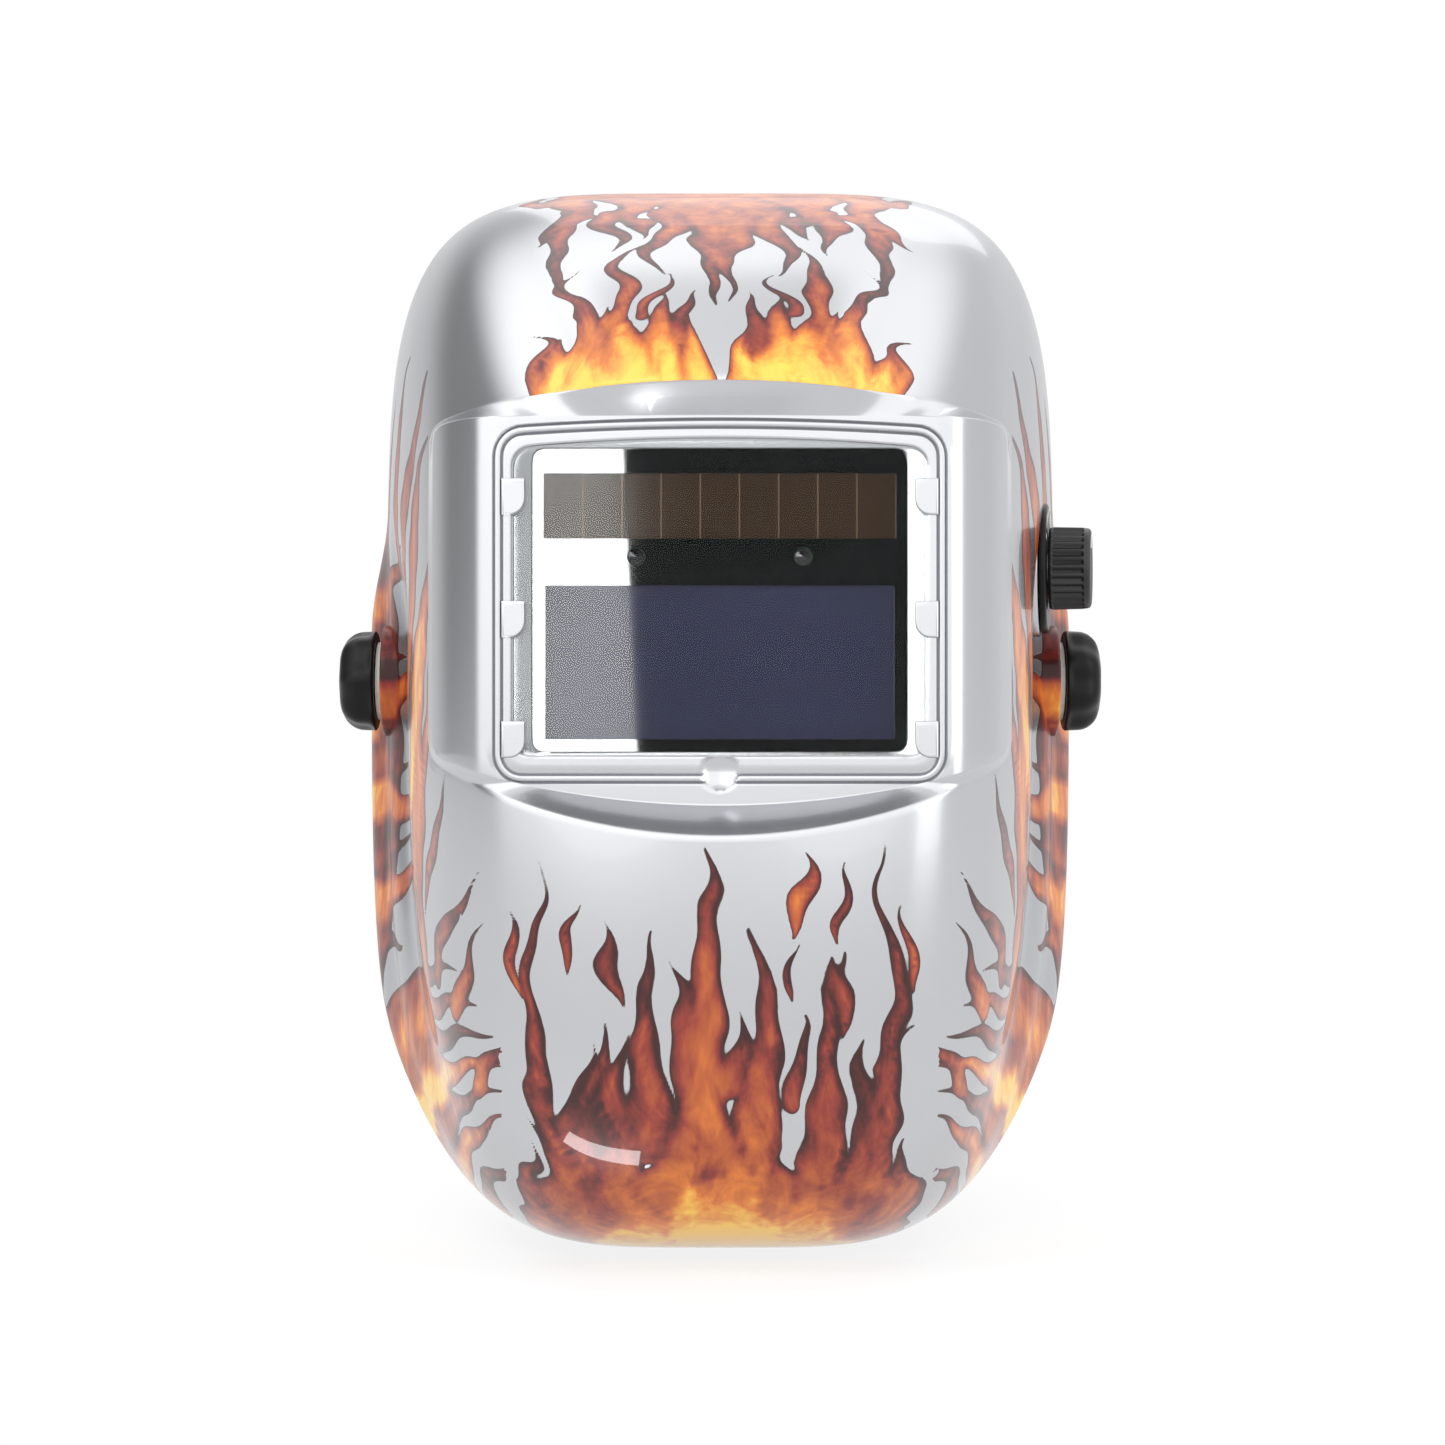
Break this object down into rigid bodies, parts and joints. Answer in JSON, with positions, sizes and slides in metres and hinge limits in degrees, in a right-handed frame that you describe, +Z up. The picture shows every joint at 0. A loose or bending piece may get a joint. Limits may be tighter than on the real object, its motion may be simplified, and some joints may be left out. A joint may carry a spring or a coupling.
{
  "type": "welding helmet",
  "caption": "Lift-up welding helmet: flame-printed silver shell with auto-darkening filter cartridge, outside shade control and ratchet headgear",
  "frame": {"origin": "middle of the side pivots' shared axis, between the wearer's ears", "axes": "+X to the viewer's right as seen from the front, +Y to the back of the head, +Z up"},
  "size_m": [0.233, 0.2783, 0.3123],
  "materials": {
    "silver_shell": "silver metallic lacquer under a clear gloss coat",
    "black_plastic": "satin black moulding",
    "dark_plastic": "matt dark grey moulding",
    "clear_plastic": "clear polycarbonate sheet",
    "dark_glass": "polished liquid-crystal filter glass",
    "solar_cells": "brown amorphous cells under a gloss film",
    "board_green": "solder-masked circuit board",
    "steel": "plain bright steel",
    "nylon": "natural nylon",
    "fabric": "black knitted cloth over foam"
  },
  "bodies": {
    "headgear": {"headband": "dark_plastic", "sweatband": "fabric", "side_bracket_right": "dark_plastic", "side_bracket_left": "dark_plastic", "pivot_bolt_right": "black_plastic", "pivot_bolt_left": "black_plastic", "friction_washer_right": "nylon", "friction_washer_left": "nylon", "outer_washer_right": "nylon", "outer_washer_left": "nylon", "tilt_stop_right": "dark_plastic", "tilt_stop_left": "dark_plastic", "front_rivet_right": "black_plastic", "front_rivet_left": "black_plastic", "rear_rivet_right": "black_plastic", "rear_rivet_left": "black_plastic", "front_strap_right": "dark_plastic", "front_strap_left": "dark_plastic", "rear_strap_right": "dark_plastic", "rear_strap_left": "dark_plastic", "front_strap_stud": "black_plastic", "rear_strap_stud": "black_plastic", "rear_band_right": "dark_plastic", "rear_band_left": "dark_plastic"},
    "mask": {"shell": "silver_shell", "cover_lens": "clear_plastic", "filter_case_front": "black_plastic", "filter_case_back": "black_plastic", "shutter_glass": "dark_glass", "solar_panel": "solar_cells", "arc_sensor_right": "dark_glass", "arc_sensor_left": "dark_glass", "circuit_board": "board_green", "battery_right": "steel", "battery_left": "steel", "inner_cover_lens": "clear_plastic", "retaining_frame": "dark_plastic", "retaining_clip_right": "steel", "retaining_clip_left": "steel", "shade_plate": "black_plastic", "potentiometer": "steel", "potentiometer_nut": "steel", "control_lead": "black_plastic"},
    "shade_control": {"shade_knob": "black_plastic", "potentiometer_shaft": "steel"},
    "sensitivity_control": {"sensitivity_knob": "dark_plastic"},
    "delay_control": {"delay_switch": "dark_plastic"},
    "right_knob": {"side_knob_right": "black_plastic"},
    "left_knob": {"side_knob_left": "black_plastic"},
    "rear_ratchet": {"ratchet_housing": "dark_plastic", "ratchet_cover": "dark_plastic", "nape_pad": "fabric", "detent_spring": "steel"},
    "ratchet_drive": {"ratchet_knob": "black_plastic", "pinion": "nylon", "pinion_screw": "steel"},
    "left_rack": {"rack_left": "nylon"},
    "right_rack": {"rack_right": "nylon"}
  },
  "joints": [
    {"name": "helmet_tilt", "type": "hinge", "parent": "headgear", "child": "mask", "pos_m": [0, 0, 0], "axis": [-1, 0, 0], "range_deg": [0, 65]},
    {"name": "right_knob_turn", "type": "hinge", "parent": "headgear", "child": "right_knob", "pos_m": [0.11, 0, 0], "axis": [1, 0, 0], "range_deg": [-180, 180]},
    {"name": "left_knob_turn", "type": "hinge", "parent": "headgear", "child": "left_knob", "pos_m": [-0.11, 0, 0], "axis": [-1, 0, 0], "range_deg": [-180, 180]},
    {"name": "shade_turn", "type": "hinge", "parent": "mask", "child": "shade_control", "pos_m": [0.09461, -0.035, 0.033], "axis": [0.9901, -0.1405, 0], "range_deg": [-135, 135]},
    {"name": "sensitivity_turn", "type": "hinge", "parent": "mask", "child": "sensitivity_control", "pos_m": [-0.01, -0.13, 0.044], "axis": [0, 1, 0], "range_deg": [-135, 135]},
    {"name": "delay_slide", "type": "slide", "parent": "mask", "child": "delay_control", "axis": [1, 0, 0], "range_m": [-0.003, 0.003]},
    {"name": "rear_slide", "type": "slide", "parent": "headgear", "child": "rear_ratchet", "axis": [0, -1, 0], "range_m": [0, 0.012], "deforming": ["rear_band_right", "rear_band_left"]},
    {"name": "ratchet_turn", "type": "hinge", "parent": "rear_ratchet", "child": "ratchet_drive", "pos_m": [0, 0.1, -0.008], "axis": [0, 1, 0], "range_deg": [0, 137.6]},
    {"name": "left_rack_slide", "type": "slide", "parent": "rear_ratchet", "child": "left_rack", "axis": [1, 0, 0], "range_m": [0, 0.0121]},
    {"name": "right_rack_slide", "type": "slide", "parent": "rear_ratchet", "child": "right_rack", "axis": [-1, 0, 0], "range_m": [0, 0.0121]}
  ],
  "couplings": [
    {"joint": "ratchet_turn", "follows": "rear_slide", "rad_per_m": 200},
    {"joint": "left_rack_slide", "follows": "rear_slide", "ratio": 1},
    {"joint": "right_rack_slide", "follows": "rear_slide", "ratio": 1}
  ]
}
